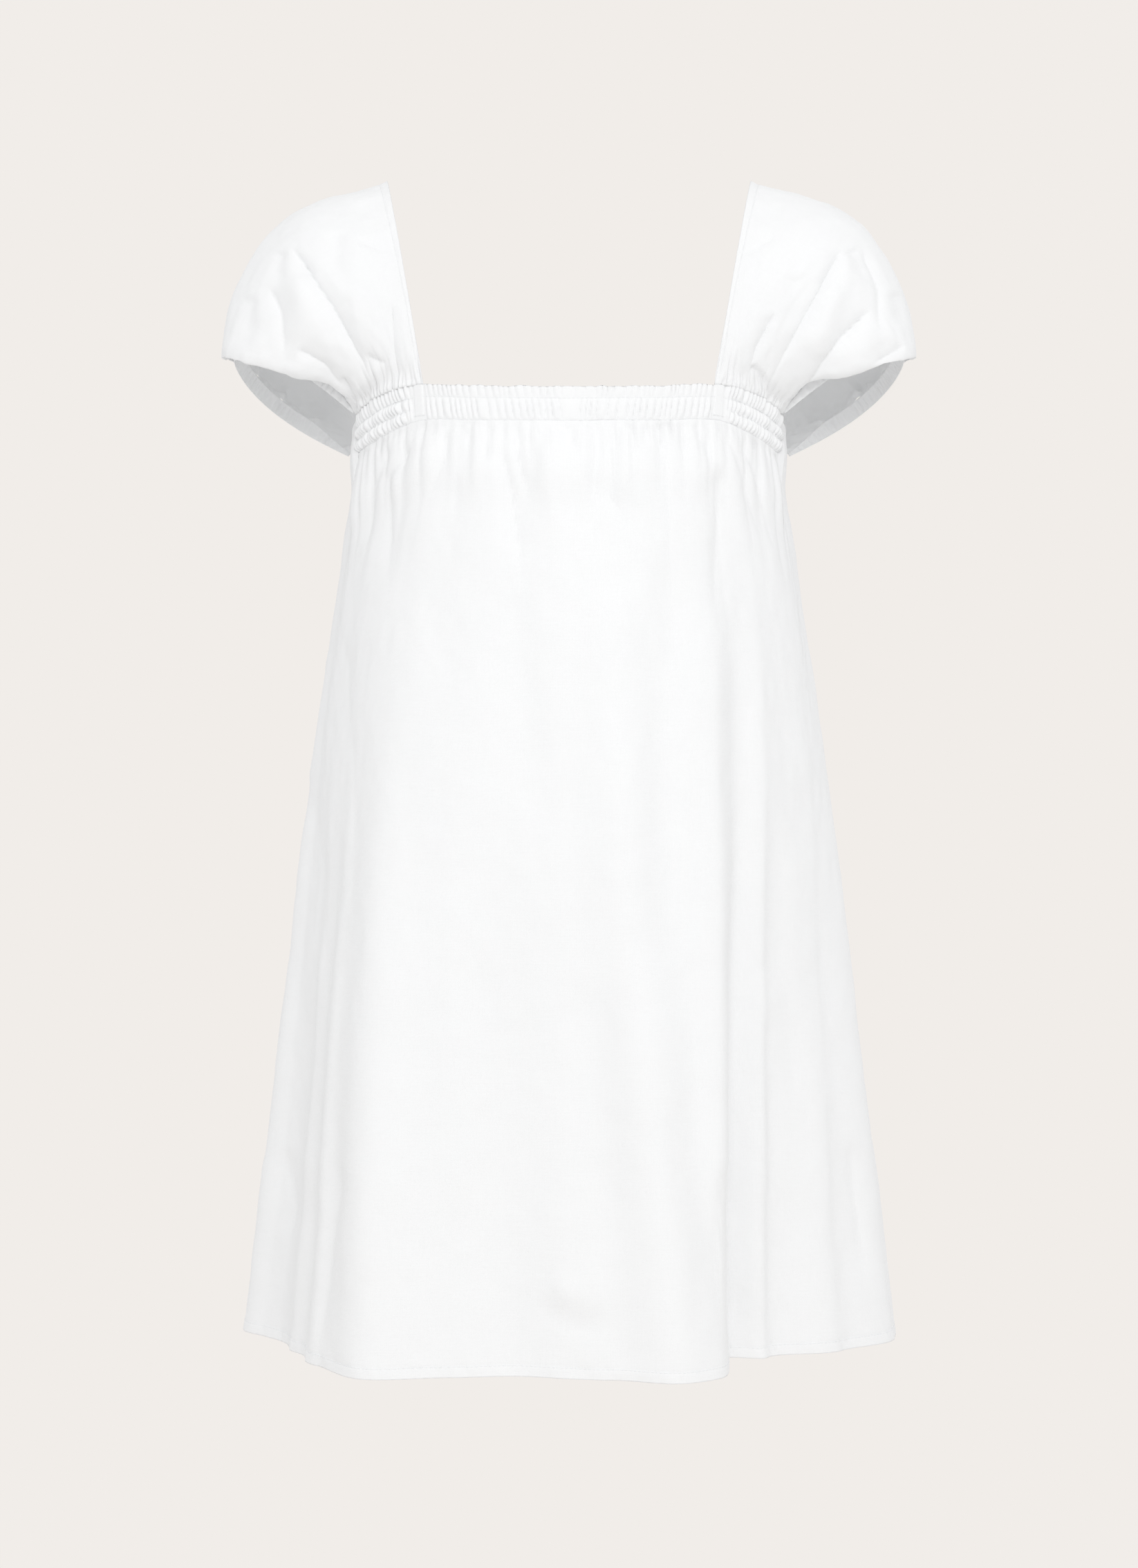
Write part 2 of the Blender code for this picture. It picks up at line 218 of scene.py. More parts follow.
FRONT_FOLDS = table(
    SkirtFold,
    (-76, -70, 24, -0.026, 0.24),  # flat side, wearer's right
    (-62, -54, 9, -0.010, 0.22),  # valley beside the apron, right
    (-42, -31, 14, 0.024, 0.22),  # apron edge, wearer's right
    (-12, -7, 13, -0.013, 0.26),  # middle valley
    (6, 15.5, 10, 0.018, 0.26),  # middle ridge
    (33, 22, 5, 0.003, 0.22),  # apron edge, wearer's left
    (43, 32, 9.5, -0.046, 0.22),  # valley beside the apron, left
    (56, 44, 17, -0.046, 0.26),  # shelf of the side, wearer's left
    (72, 61, 17, -0.022, 0.28),  # flat side, wearer's left
)
BACK_FOLDS = table(
    SkirtFold,
    (-66, -62, 11, -0.018, 0.25),  # back outer valley, left
    (-40, -40, 11, 0.020, 0.24),  # back ridge, left
    (-22, -21, 10, -0.018, 0.26),  # back inner valley, left
    (0, -2, 11, 0.010, 0.28),  # back middle ridge
    (22, 19, 11, -0.016, 0.26),  # back inner valley, right
    (42, 40, 12, 0.022, 0.24),  # back ridge, right
    (68, 62, 11, -0.020, 0.25),  # back outer valley, right
)


class Hump(NamedTuple):
    """A soft hump: where its middle is and how far it reaches to each side."""

    middle: float
    reach: float


# The sleeve's form; over runs from its front end to its back, across from neck to casing
SHOULDER_TOP = np.array((0.1318, 0.002, -0.0015))
OPENING_REST = np.array((0.1551, 0.0093, -0.1865))
OPENING_OUT = np.array((0.0885, -0.0050, 0.0605))
OPENING_BACK = np.array((0.0043, 0.0357, -0.0109))
FRONT_FULLNESS = 0.80
BACK_FULLNESS = 1.30
ARM_DIRECTION = np.array((0.486, -0.308, -0.814))
PUFF_CENTRE = np.array((0.125, 0.0, -0.100))
PUFF_LINE = np.array((0.64, 0.05, -0.77)) / np.linalg.norm((0.64, 0.05, -0.77))
PUFF_HEIGHT = 0.0376
ROLL_FULLNESS = 0.004  # how much fuller the puff is where it turns back up to its casing
SHOULDER_FULLNESS = 0.0045  # how much fuller it is at its outermost place
ROLL_DROP = 0.046
BLOUSE_DROP = 0.014
TURN_ACROSS = Hump(0.89, 0.08)
TURN_LEFT_OUT = Hump(0.52, 0.24)
SHOULDER_ACROSS = Hump(0.74, 0.20)
SHOULDER_OVER = Hump(0.50, 0.30)
ROLL_OVER = Hump(0.34, 0.42)
HANG_ACROSS = Hump(0.90, 0.42)  # where it hangs lowest
HANG_RUN_OUT = 0.09  # how fast the hang ends between there and the casing
END_RUN = 0.22  # how far in from its ends the sleeve is drawn onto the bands
HANG_IN_FRONT = np.array((0.28, -0.28, -0.92))
HANG_BEHIND = np.array((0.10, 0.10, -0.92))
SLEEVE_END_SHARE = 0.985  # share of a band at which the sleeve's end stops

# The skirt's fullness just below a band, and the cloth's own unevenness
UNDER_BAND_FULLNESS = 0.0045
UNDER_BAND = Hump(0.030, 0.034)
SKIRT_RUMPLE = 0.0011
SLEEVE_RUMPLE = 0.0010
FINE_RUMPLE = 0.0004
HEM_STAND = 0.0003  # how far the hem's turn stands out
COLUMN_MARKS = (0.0, 26 / 32, 29 / 32, 1.0)  # columns at a band's lower and upper corner


class Crease(NamedTuple):
    """A soft trough drawn through three places: x across the dress, d down it.

    Depth is how far it goes in, or out where it is negative; lip is the height of the
    ridge thrown up beside it, on the wearer's right of its run where it is positive.
    """

    x1: float
    d1: float
    x2: float
    d2: float
    x3: float
    d3: float
    half_width: float
    depth: float
    lip: float


def in_millimetres(*rows):
    """Creases from rows of their values in millimetres."""
    return tuple(Crease(*(value / 1000 for value in row)) for row in rows)


# Folds that run down from the front band, and the soft ones lower on the skirt
FRONT_CREASES = in_millimetres(
    (-86, 190, -86, 212, -100, 256, 5, 3.2, 1),
    (-54, 190, -55, 202, -57, 220, 4, 2.4, 0.8),
    (-47, 204, -39, 240, -31, 309, 6.2, 4.8, 1.6),
    (-38, 190, -33, 222, -25, 252, 4.2, 3.4, -1.2),
    (-19, 190, -22, 216, -24, 240, 4, 2.8, 1),
    (0, 190, 3, 204, 9, 216, 4.2, 2.6, -1),
    (21, 189, 21, 210, 18, 258, 4.5, 3.2, 1.2),
    (31, 189, 29, 240, 48, 276, 5, 3.6, -1.4),
    (53, 190, 51, 200, 47, 214, 3.8, 2.4, 0.8),
    (60, 190, 62, 198, 66, 210, 3.8, 2.2, -0.8),
    (77, 188, 79, 198, 81, 212, 3.8, 2.4, 0.8),
    (85, 188, 93, 202, 102, 222, 4.5, 3, -1.2),
    (105, 212, 103, 275, 101, 330, 8, 4, 1),
    (109, 194, 122, 224, 136, 272, 5, 3.6, 1.4),
    (119, 194, 134, 224, 145, 280, 4.8, 3.4, 1.2),
    (-105, 196, -127, 224, -126, 310, 6.4, 4.4, -1.6),
    (-124, 198, -137, 226, -146, 282, 4.8, 3.6, 1.4),
    (-71, 190, -70, 203, -74, 228, 4.2, 2.6, 1),
    (41, 190, 40, 215, 34, 245, 6, -1.8, 0),
    (-9, 192, -12, 230, -8, 290, 9, -2.2, 0),
    (-38, 285, -30, 390, -20, 500, 16, 3.4, 0),
    (71, 255, 68, 440, 61, 650, 15, 3.6, 0),
    (30, 290, 32, 420, 28, 560, 20, -3, 0),
    (-85, 330, -90, 480, -98, 700, 20, -3, 0),
    (12, 560, 18, 660, 20, 800, 24, 3.6, 0),
    (-60, 540, -64, 660, -70, 820, 20, 3, 0),
    (-24, 786, 4, 798, 40, 794, 6, 3, -1.4),
    (-10, 770, 0, 779, 16, 776, 6, -1.6, 0),
    (-156, 690, -164, 762, -170, 826, 8, 4, 1.4),
    (-205, 700, -196, 738, -199, 764, 9, 3.6, 1),
    (-190, 430, -176, 500, -170, 600, 12, 3, 1),
    (-160, 330, -152, 420, -150, 520, 10, 3, 1),
    (104, 690, 100, 757, 104, 828, 7, 3.6, -1.2),
    (200, 690, 206, 744, 213, 800, 9, 3.8, -1),
    (164, 420, 172, 540, 178, 660, 12, 3, 0),
    (140, 560, 146, 660, 152, 790, 12, -3, 0),
)
# The back's folds are like the front's, laid out anew
BACK_CREASES = in_millimetres(
    (-120, 196, -128, 226, -134, 290, 5.5, 3.8, 1.2),
    (-98, 180, -100, 205, -108, 250, 4.8, 3.4, 1.2),
    (-79, 180, -78, 202, -84, 236, 4.2, 2.8, -1),
    (-58, 181, -54, 215, -50, 300, 6.2, 4.6, 1.4),
    (-36, 181, -38, 200, -41, 226, 4, 2.6, 0.8),
    (-14, 182, -11, 212, -14, 262, 5, 3.4, -1.2),
    (6, 182, 9, 200, 8, 230, 4.2, 2.8, 1),
    (27, 181, 26, 222, 34, 310, 6.4, 4.4, -1.4),
    (47, 181, 50, 200, 49, 222, 4, 2.6, 0.8),
    (68, 180, 72, 208, 80, 252, 4.8, 3.4, 1.2),
    (94, 180, 101, 210, 106, 272, 5.2, 3.6, -1.2),
    (120, 196, 130, 226, 138, 292, 5.5, 3.8, 1.2),
    (-50, 300, -54, 450, -60, 640, 17, 3.4, 0),
    (40, 300, 46, 420, 50, 560, 16, 3.4, 0),
    (-4, 420, 2, 560, 6, 760, 22, -3.2, 0),
    (110, 420, 118, 560, 124, 740, 14, 3.2, 0),
    (-130, 460, -138, 600, -146, 780, 14, 3.2, 0),
    (-30, 790, -4, 780, 26, 790, 7, 2.6, -1),
)
# Creases of the sleeves, with x measured outwards from the dress's centre on both sides
RIGHT_SLEEVE_FRONT = in_millimetres(
    (196, 58, 166, 104, 131, 168, 3.4, 5.6, -2.6),
    (212, 86, 203, 106, 199, 148, 4, 3.4, 1.6),
    (203, 60, 205, 70, 206, 86, 6, 2, 0),
    (192, 132, 172, 143, 158, 160, 4, 4.4, -1.6),
    (160, 150, 154, 162, 146, 174, 3, 3.6, -1),
    (123, 100, 122, 136, 118, 164, 2.8, 3, 1.2),
    (143, 138, 130, 144, 127, 162, 3, 3.6, -1.2),
    (150, 56, 134, 62, 117, 66, 3, 1.6, -0.6),
    (164, 46, 162, 64, 167, 88, 8, 2.4, 0),
    (226, 90, 228, 110, 224, 130, 7, 2.6, 0),
    (184, 78, 186, 110, 184, 136, 10, -2.6, 0),
    (150, 90, 146, 120, 136, 146, 9, -2.2, 0),
)
LEFT_SLEEVE_FRONT = in_millimetres(
    (194, 57, 168, 106, 136, 166, 3.4, 5.4, -2.4),
    (214, 102, 190, 126, 160, 168, 3.8, 5.6, -2),
    (200, 58, 203, 68, 204, 84, 6, 2.4, 0),
    (207, 56, 220, 86, 219, 130, 4.4, 3.6, 1.4),
    (144, 108, 131, 134, 124, 160, 3.2, 3.8, 1.6),
    (146, 52, 132, 62, 117, 68, 3.4, 1.8, 0.6),
    (238, 126, 221, 138, 212, 143, 4, 3.6, 1.2),
    (232, 86, 236, 100, 236, 116, 7, 2.4, 0),
    (158, 80, 158, 100, 150, 124, 9, 2.2, 0),
    (186, 86, 178, 112, 166, 140, 10, -2.8, 0),
    (128, 146, 134, 152, 138, 160, 3, 3.4, 0),
)
SLEEVE_BACK = in_millimetres(
    (198, 60, 176, 104, 136, 160, 3.6, 5, -2.2),
    (216, 94, 196, 122, 150, 172, 3.8, 5, -1.8),
    (206, 62, 212, 80, 214, 104, 6, 2.8, 0),
    (140, 90, 134, 120, 120, 150, 3.2, 3.4, 1.2),
    (152, 50, 140, 60, 128, 64, 3.4, 1.6, 0.6),
    (184, 140, 172, 156, 156, 176, 3.8, 4, -1.2),
)


class Gather(NamedTuple):
    """Gathers that run into one another: pleats of the seam taken together, depth and reach."""

    pleats: float
    depth: float
    reach: float


SEAM_PLEATS = 78  # pleats on the sewing line of a band, shared by band and skirt
SKIRT_GATHERS = table(
    Gather,
    (1.0, 0.0020, 0.020),
    (2.0, 0.0030, 0.046),
    (4.0, 0.0040, 0.110),
    (9.0, 0.0034, 0.190),
)
SLEEVE_PLEATS = 24  # on each end of a sleeve
SLEEVE_END_GATHERS = table(
    Gather,
    (1.0, 0.0020, 0.016),
    (2.0, 0.0036, 0.040),
)
CASING_PLEATS = 58
CASING_DEPTH = 0.0016
CASING_SWELL = 0.0004  # how far its middle swells over the elastic
CASING_TUCK = 0.0005  # how far its upper edge is tucked in under the sleeve
SLEEVE_EDGE_GATHERS = table(
    Gather,
    (1.0, 0.0014, 0.010),
    (2.0, 0.0020, 0.022),
)
SLEEVE_BACK_GATHERS = table(Gather, (3, 0.0050, 0.050), (7, 0.0060, 0.085))


class PuckerRow(NamedTuple):
    """One row of puckers between two lines of sewing on a band; heights run down from its top."""

    from_height: float
    to_height: float
    closeness: float
    depth: float


PLAIN_ROWS = table(
    PuckerRow,
    (-0.36, 0.36, 1.05, 0.0020),
    (0.36, 1.00, 1.00, 0.0028),
)
SMOCKED_ROWS = table(
    PuckerRow,
    (0.00, 0.34, 1.05, 0.0050),
    (0.34, 0.67, 1.10, 0.0052),
    (0.67, 1.00, 1.05, 0.0050),
)
SMOCKED_FROM = 0.62  # share of the band past which it has three rows


def mix(a, b, share):
    return a + (b - a) * share


def smooth(x):
    """Rises softly from 0 to 1 as x does."""
    x = np.clip(x, 0.0, 1.0)
    return x * x * (3.0 - 2.0 * x)


def bump(x):
    """A soft hump, 1 at x = 0 and 0 from x = 1 outwards."""
    return 0.5 + 0.5 * np.cos(np.pi * np.clip(np.abs(x), 0.0, 1.0))


def hump(x, form):
    return bump((x - form.middle) / form.reach)


def wander(seed, x, spacing):
    """A smooth, uneven line between -1 and 1 along x, the same each run."""
    knots = np.random.default_rng(seed).uniform(-1.0, 1.0, LINE_KNOTS)
    place = np.asarray(x) / spacing + LINE_START
    low = np.floor(place).astype(int)
    return mix(knots[low % LINE_KNOTS], knots[(low + 1) % LINE_KNOTS], smooth(place - low))


def rumple(seed, x, y, spacing):
    """A smooth, uneven surface between -1 and 1 over x and y, the same each run."""
    knots = np.random.default_rng(seed).uniform(-1.0, 1.0, (SURFACE_KNOTS, SURFACE_KNOTS))
    column, row = np.asarray(x) / spacing + SURFACE_START, np.asarray(y) / spacing + SURFACE_START
    i, j = np.floor(column).astype(int), np.floor(row).astype(int)
    s, t = smooth(column - i), smooth(row - j)
    left, right = i % SURFACE_KNOTS, (i + 1) % SURFACE_KNOTS
    low, high = j % SURFACE_KNOTS, (j + 1) % SURFACE_KNOTS
    return mix(mix(knots[left, low], knots[right, low], s), mix(knots[left, high], knots[right, high], s), t)


def read(rows, key, column, value):
    """One column of a table at any values of its key column, on a smooth curve."""
    keys = np.array([getattr(row, key) for row in rows])
    values = np.array([getattr(row, column) for row in rows])
    last = len(keys) - 1
    low, high = np.maximum(np.arange(last + 1) - 1, 0), np.minimum(np.arange(last + 1) + 1, last)
    slopes = (values[high] - values[low]) / (keys[high] - keys[low])
    value = np.clip(value, keys[0], keys[-1])
    i = np.clip(np.searchsorted(keys, value, side="right") - 1, 0, last - 1)
    span = keys[i + 1] - keys[i]
    t = (value - keys[i]) / span
    rise = (2 * t**3 - 3 * t**2 + 1) * values[i] + (3 * t**2 - 2 * t**3) * values[i + 1]
    lean = (t**3 - 2 * t**2 + t) * slopes[i] + (t**3 - t**2) * slopes[i + 1]
    return rise + lean * span


def rounded(x):
    return np.copysign(np.abs(x) ** (2.0 / ROUNDNESS), x)


def body_point(angle, drop):
    """Points of the plain body form; angle is in degrees from the centre front towards +X."""
    angle, drop = np.broadcast_arrays(angle, drop)
    turn = np.radians(angle)
    width = read(SECTIONS, "drop", "half_width", drop)
    front, back = read(SECTIONS, "drop", "front", drop), read(SECTIONS, "drop", "back", drop)
    reach = np.where(np.cos(turn) > 0, front, back)
    return np.stack(
        (width * rounded(np.sin(turn)), SIDE_LINE - reach * rounded(np.cos(turn)), -drop), axis=-1
    )


def unit(vectors):
    lengths = np.linalg.norm(vectors, axis=-1, keepdims=True)
    return vectors / np.maximum(lengths, 1e-12)


def body_normal(angle, drop):
    """The level direction that points out of the body form."""
    along = body_point(angle + 1.0, drop) - body_point(angle - 1.0, drop)
    return unit(np.stack((along[..., 1], -along[..., 0], np.zeros_like(along[..., 0])), axis=-1))


def outward(points):
    """Directions out of a grid of points whose rows run down and whose columns run round."""
    return unit(np.cross(np.gradient(points, axis=0), np.gradient(points, axis=1)))


def band_place(band, share, height):
    """Angle and drop on a neck band: share from -1 to 1, height 0 at its top."""
    reach = mix(band.top_angle, band.bottom_angle, height)
    top = read(band.edges, "share", "top", np.abs(share))
    bottom = read(band.edges, "share", "bottom", np.abs(share))
    return band.middle_angle + share * reach, mix(top, bottom, height)


def pleat(seed, pleats, taken_together=1.0):
    """Rounded pleats from 0 to 1 with sharp valleys, uneven in width; pleats counts them along."""
    place = pleats + 0.6 * wander(seed, pleats, 2.1)
    return np.abs(np.sin(np.pi * (place / taken_together + 0.37 * taken_together))) ** 0.75


def gathers(layers, seed, pleats, away):
    """Gathers below a seam: each layer takes more pleats together and reaches further."""
    total = np.zeros(np.broadcast(pleats, away).shape)
    for k, layer in enumerate(layers):
        size = 0.66 + 0.34 * wander(seed + 100 + k, pleats, 1.6 * layer.pleats)
        reach = layer.reach * (0.85 + 0.45 * wander(seed + 200 + k, pleats, 1.9 * layer.pleats))
        grown = smooth(away / (0.25 * layer.reach) + 0.3)
        height = layer.depth * size * (pleat(seed, pleats, layer.pleats) - 0.65)
        total += height * grown * smooth(1.0 - away / reach)
    return total


def crease_depth(creases, x, drop):
    """Sum of the listed creases at places x across and drop down."""
    total = np.zeros(np.broadcast(x, drop).shape)
    for crease in creases:
        knots = np.array(((crease.x1, crease.d1), (crease.x2, crease.d2), (crease.x3, crease.d3)))
        runs = np.linalg.norm(np.diff(knots, axis=0), axis=1)
        nearest = np.full(total.shape, 1e9)
        side = np.zeros(total.shape)
        place = np.zeros(total.shape)
        for k in range(2):
            step = (knots[k + 1] - knots[k]) / runs[k]
            across, down = x - knots[k, 0], drop - knots[k, 1]
            travel = np.clip(across * step[0] + down * step[1], 0.0, runs[k])
            apart = np.hypot(across - travel * step[0], down - travel * step[1])
            closer = apart < nearest
            nearest = np.where(closer, apart, nearest)
            side = np.where(closer, np.sign(down * step[0] - across * step[1]), side)
            place = np.where(closer, (travel + runs[0] * k) / runs.sum(), place)
        fade = smooth(place / 0.15) * smooth((1.0 - place) / 0.40)
        width = crease.half_width * (0.75 + 0.5 * place)
        if crease.lip:
            ridge_width = RIDGE_SHARE * width
            past_fold = nearest * side * math.copysign(1.0, crease.lip)
            relief = -crease.depth * np.exp(-nearest / width)
            relief += abs(crease.lip) * np.exp(-((past_fold / ridge_width - 1.2) ** 2))
        else:
            relief = -crease.depth * np.exp(-((nearest / width) ** 2))
        total += relief * fade
    return total


def fold_depth(folds, angle, drop):
    """Sum of the long folds of the skirt."""
    total = np.zeros(np.broadcast(angle, drop).shape)
    for fold in folds:
        down = (drop - fold.start_drop) / (LENGTH - fold.start_drop)
        centre = mix(fold.top_angle, fold.hem_angle, np.maximum(0.0, down))
        grown = smooth(0.1 + 0.9 * down) ** 1.15
        total += fold.depth * grown * bump((angle - centre) / fold.half_angle)
    return total


def panel_top(band, angle):
    """Drop of a panel's upper edge at angles from the panel's own middle."""
    away = np.abs(angle)
    bottom_end, top_end = band.edges[-1].bottom, band.edges[-1].top
    under_band = read(band.edges, "share", "bottom", np.minimum(away / band.bottom_angle, 1.0))
    climb = (away - band.bottom_angle) / (band.top_angle - band.bottom_angle)
    beside_band = mix(bottom_end, top_end, np.clip(climb, 0.0, 1.0)) + SEAM_GAP
    round_body = away if band.middle_angle == 0.0 else 180.0 - away
    under_arm = read(ARMHOLE, "angle", "drop", round_body)
    return np.where(
        away <= band.bottom_angle, under_band, np.where(away <= band.top_angle, beside_band, under_arm)
    ) + SEAM_GAP


def panel_angle(band, share, down):
    """Angles of the columns of cloth, which spread as they run down to the hem."""
    ends = (0.0, band.bottom_angle, band.top_angle, SIDE_SEAM_ANGLE)
    top_angle = np.interp(np.abs(share), COLUMN_MARKS, ends)
    return np.copysign(mix(top_angle, SIDE_SEAM_ANGLE * np.abs(share), smooth(2.0 * down)), share)


def stitch_groove(apart):
    """The groove that a line of stitches draws in, at distances from the line."""
    return -GROOVE_DEPTH * np.exp(-((apart / GROOVE_WIDTH) ** 2))


def panel_surface(band, folds, creases, shares, downs):
    """Fine outer surface of the front or back panel."""
    down, share = np.meshgrid(downs, shares, indexing="ij")
    top = panel_top(band, panel_angle(band, share, np.zeros_like(down)))
    angle = panel_angle(band, share, down)
    drop = mix(top, LENGTH, down)
    below = drop - top
    off_seam = smooth((1.0 - np.abs(share)) / 0.10)
    blouse = UNDER_BAND_FULLNESS * hump(below, UNDER_BAND) * smooth(below / 0.01)
    turned = band.middle_angle + angle
    depth = (fold_depth(folds, angle, drop) + blouse) * off_seam
    points = body_point(turned, drop) + body_normal(turned, drop) * depth[..., None]

    band_share = panel_angle(band, share, np.zeros_like(down)) / band.bottom_angle
    gathered = smooth((1.02 - np.abs(band_share)) * 25.0)
    fine = gathers(SKIRT_GATHERS, band.seed, SEAM_PLEATS * (0.5 + 0.5 * band_share), below) * gathered
    fine += crease_depth(creases, points[..., 0], drop)
    flat_x, flat_y = share * 0.36, down * (LENGTH - 0.19)
    slack = smooth(below / 0.05)
    fine += slack * (SKIRT_RUMPLE * rumple(band.seed, flat_x, flat_y * 0.55, 0.034))
    fine += slack * (FINE_RUMPLE * rumple(band.seed + 5, flat_x, flat_y, 0.011))
    fine *= smooth((1.0 - np.abs(share)) / 0.015)
    seam_dip = 0.0007 * np.exp(-(((1.0 - np.abs(share)) * 0.30) / 0.0030) ** 2)
    from_hem = LENGTH - drop
    roping = 0.0003 * wander(band.seed + 9, flat_x + from_hem * 0.6, 0.0030)
    hem = np.where(from_hem < HEM_WIDTH, HEM_STAND + roping, 0.0)
    groove = stitch_groove(from_hem - HEM_WIDTH + 0.0006)
    fine += hem + groove + roping * np.exp(-np.abs(from_hem - HEM_WIDTH) / 0.006)
    points += outward(points) * (fine - seam_dip)[..., None]
    half_cut = mix(PANEL_HALF_TOP, PANEL_HALF_HEM, down)
    sheet_map = np.stack((share * half_cut, -down * PANEL_DEPTH), axis=-1)
    return points, sheet_map


def band_relief(band, share, height):
    """Height of a band's puckers: two rows along the neck, three on the smocked ends."""
    pleats = SEAM_PLEATS * (0.5 + 0.5 * share)
    smocked = smooth((np.abs(share) - SMOCKED_FROM + 0.05) / 0.08)
    reliefs = []
    for rows in (PLAIN_ROWS, SMOCKED_ROWS):
        relief = np.zeros(share.shape)
        for k, row in enumerate(rows):
            inside = (height - row.from_height) / (row.to_height - row.from_height)
            round_row = mix(0.35, 1.0, inside) if rows is SMOCKED_ROWS and k == 0 else inside
            arch = np.where((inside >= 0.0) & (inside <= 1.0), np.abs(np.sin(np.pi * round_row)), 0.0) ** 0.6
            slant = 0.30 * (inside - 0.5) * np.sign(share)
            seed = band.seed if row.closeness == 1.0 else band.seed + 7 * (k + 1)
            size = 0.72 + 0.28 * wander(seed + 3, pleats, 1.3)
            relief += row.depth * size * arch * (pleat(seed, pleats * row.closeness + slant) - 0.10)
        reliefs.append(relief)
    seam = gathers(SKIRT_GATHERS, band.seed, pleats, 0.0) * smooth((height - 0.75) / 0.25)
    return mix(reliefs[0], reliefs[1], smocked) + seam


def band_surface(band, shares, heights):
    """Fine outer surface of a neck band."""
    height, share = np.meshgrid(heights, shares, indexing="ij")
    angle, drop = band_place(band, share, height)
    at_sleeve = smooth((np.abs(share) - band.corner_share - 0.002) / 0.004)
    wavy = BAND_WAVE * wander(band.seed + 70, (0.5 + 0.5 * share) * 95, 1.0) * smooth(1.0 - height / 0.25)
    drop = drop + wavy * (1.0 - at_sleeve)
    beside_tab = smooth((np.abs(np.abs(share) - band.corner_share - 0.027) - 0.030) / 0.015)
    raised = band_relief(band, share, height) * beside_tab
    points = body_point(angle, drop) + body_normal(angle, drop) * raised[..., None]
    sunk = body_normal(angle, drop) * 0.0002
    over_skirt = points[-1:] - sunk[-1:] - np.array((0.0, 0.0, SEAM_OVERLAP))
    under_sleeve = np.array((0.0, 0.0, SEAM_OVERLAP)) - 3.0 * sunk[:1]
    into_sleeve = points[:1] + at_sleeve[:1, :, None] * under_sleeve
    sheet_map = np.stack((share * PANEL_HALF_TOP, -height * BAND_DEPTH), axis=-1)
    edge = np.array((0.0, SEAM_OVERLAP))
    points = np.concatenate((into_sleeve, points, over_skirt))
    return points, np.concatenate((sheet_map[:1] + edge, sheet_map, sheet_map[-1:] - edge))


def tab_surface(band, side, acrosses, heights):
    """The flat end of the sleeve's neck hem, stitched down over the band."""
    height, across = np.meshgrid(heights, acrosses, indexing="ij")
    share = side * (band.corner_share + math.degrees(TAB_WIDTH / 0.15) / band.top_angle * across)
    angle, drop = band_place(band, share, mix(0.00, 0.94, height))
    rim = np.minimum.reduce((across, 1.0 - across, (1.0 - height) * 1.9)) * TAB_WIDTH
    cushion = TAB_CUSHION * smooth(rim / 0.0016)
    raised = cushion - TAB_SINK + 0.0002 * rumple(77, share * 0.3, height * 0.02, 0.006)
    points = body_point(angle, drop) + body_normal(angle, drop) * raised[..., None]
    return points, np.stack((share * PANEL_HALF_TOP, -height * TAB_DEPTH), axis=-1)


def neck_edge(over):
    """The sleeve's neck edge: over is 0 at the front band and 1 at the back band."""
    front = body_point(*band_place(FRONT_BAND, FRONT_BAND.corner_share, 0.0))
    back = body_point(*band_place(BACK_BAND, -BACK_BAND.corner_share, 0.0))
    rise = np.sin(np.pi * over)[..., None]
    foot = mix(front, back, (0.5 - 0.5 * np.cos(np.pi * over))[..., None])
    return foot + (SHOULDER_TOP - mix(front, back, 0.5)) * rise


def arm_edge(over):
    """The free edge of the casing round the arm, from the front band's end to the back's."""
    turn = np.pi * over
    out = np.sin(turn)
    fullness = np.where(over < 0.5, FRONT_FULLNESS, BACK_FULLNESS)
    back = -np.cos(turn) * (1.0 + fullness * out)
    return OPENING_REST + OPENING_OUT * out[..., None] + OPENING_BACK * back[..., None]


def casing_width(over):
    ends = smooth(over / 0.14) * smooth((1.0 - over) / 0.14)
    return mix(0.003, CASING_WIDTH, ends)


def sleeve_seam(over):
    """Where the sleeve meets its casing."""
    return arm_edge(over) - ARM_DIRECTION * (casing_width(over) - SEAM_GAP)[..., None]


def along_bands(over, across, measure):
    """A measure taken on the upper edge of the band that the sleeve's end is sewn to."""
    found = []
    for band, side in ((FRONT_BAND, 1.0), (BACK_BAND, -1.0)):
        share = side * mix(band.corner_share, SLEEVE_END_SHARE, across)
        found.append(measure(band, share, np.zeros_like(share)))
    return np.where((over < 0.5)[..., None], found[0], found[1])


def band_top_end(over, across):
    """Where the sleeve's end is sewn to a band's upper edge."""

    def edge(band, share, level):
        return body_point(*band_place(band, share, level))

    return along_bands(over, across, edge) - np.array((0.0, 0.0, SEAM_GAP))


def smocked_end(over, across):
    """The puckers of the band under the sleeve's end, which run on into the sleeve."""

    def puckers(band, share, level):
        outwards = body_normal(*band_place(band, share, level))
        return outwards * band_relief(band, share, level)[..., None]

    return along_bands(over, across, puckers)


def out_of_puff(points):
    """Directions straight out from the puff's middle line."""
    away = points - PUFF_CENTRE
    away -= PUFF_LINE * (away @ PUFF_LINE)[..., None]
    return unit(away)


